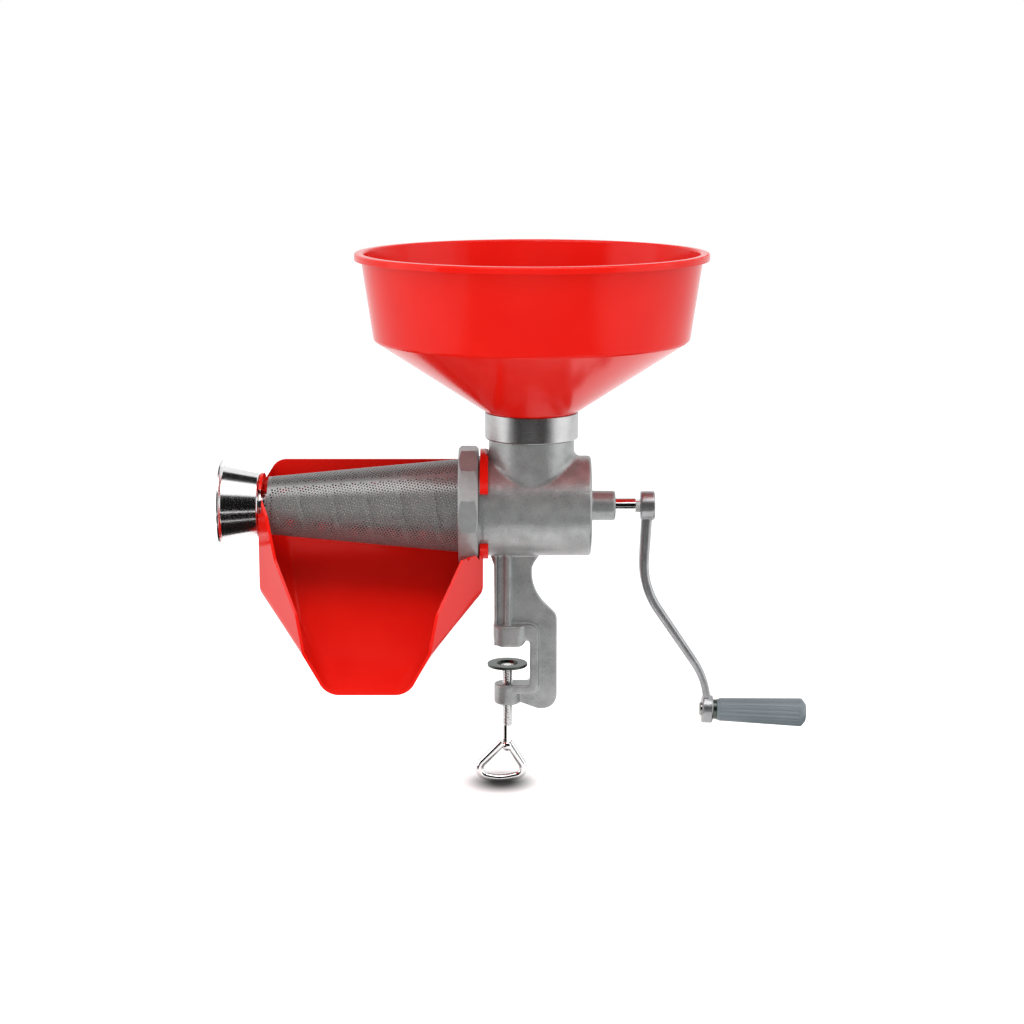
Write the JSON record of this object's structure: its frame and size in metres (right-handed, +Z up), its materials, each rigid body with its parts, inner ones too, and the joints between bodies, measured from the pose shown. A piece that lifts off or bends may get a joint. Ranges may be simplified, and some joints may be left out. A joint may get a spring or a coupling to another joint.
{
  "type": "hand cranked tomato strainer",
  "caption": "Clamp-on tomato strainer: funnel hopper over a cast barrel, crank-driven auger in a perforated cone with outlet bell, and a sauce chute.",
  "frame": {"origin": "centre of the upper clamp jaw's underside, on the clamp screw's axis", "axes": "+X along the barrel towards the crank, -Y towards the user, +Z up"},
  "size_m": [0.5303, 0.3124, 0.4869],
  "materials": {
    "cast_aluminium": "bead-blasted casting",
    "turned_aluminium": "fine turned",
    "cast_nut": "bead-blasted casting",
    "crank_casting": "satin casting",
    "red_plastic": "gloss moulded",
    "strainer_steel": "perforated sheet",
    "polished_steel": "mirror polished",
    "chrome_steel": "plated",
    "zinc_steel": "zinc plated",
    "dark_steel": "dark zinc plated",
    "spring_steel": "drawn wire",
    "auger_plastic": "moulded",
    "grey_plastic": "satin moulded",
    "bronze": "turned",
    "black_rubber": "moulded"
  },
  "bodies": {
    "frame": {"body_casting": "cast_aluminium", "hopper_collar": "turned_aluminium", "flange_gasket": "black_rubber", "strainer_mouth_ring": "strainer_steel", "strainer_cone": "strainer_steel", "strainer_end_ring": "polished_steel", "waste_bell": "polished_steel", "ring_nut": "cast_nut", "sauce_chute": "red_plastic", "shaft_bush": "bronze", "shaft_seal": "black_rubber"},
    "hopper": {"hopper": "red_plastic"},
    "rotor": {"drive_shaft": "chrome_steel", "thrust_washer": "zinc_steel", "auger_spring": "spring_steel", "auger": "auger_plastic", "auger_drive_pin": "zinc_steel", "crank_arm": "crank_casting", "crank_washer": "zinc_steel", "crank_screw": "zinc_steel", "grip_pin": "zinc_steel", "grip_washer": "dark_steel"},
    "grip": {"grip": "grey_plastic"},
    "pad": {"clamp_pad": "dark_steel"},
    "screw": {"clamp_screw": "chrome_steel", "pad_retainer": "zinc_steel", "clamp_bow": "chrome_steel"}
  },
  "joints": [
    {"name": "crank_turn", "type": "hinge", "parent": "frame", "child": "rotor", "pos_m": [0.126, 0, 0.128], "axis": [1, 0, 0], "continuous": true},
    {"name": "grip_spin", "type": "hinge", "parent": "rotor", "child": "grip", "pos_m": [0.1828, 0, -0.062], "axis": [0.9993, 0, -0.0384], "continuous": true},
    {"name": "hopper_lift", "type": "slide", "parent": "frame", "child": "hopper", "axis": [0, 0, 1], "range_m": [0, 0.05]},
    {"name": "pad_travel", "type": "slide", "parent": "frame", "child": "pad", "axis": [0, 0, 1], "range_m": [-0.012, 0.018]},
    {"name": "screw_turn", "type": "hinge", "parent": "pad", "child": "screw", "pos_m": [0, 0, -0.06], "axis": [0, 0, 1], "range_deg": [-2880, 4320]}
  ],
  "couplings": [
    {"joint": "pad_travel", "follows": "screw_turn", "m_per_rad": 0.00023873}
  ]
}
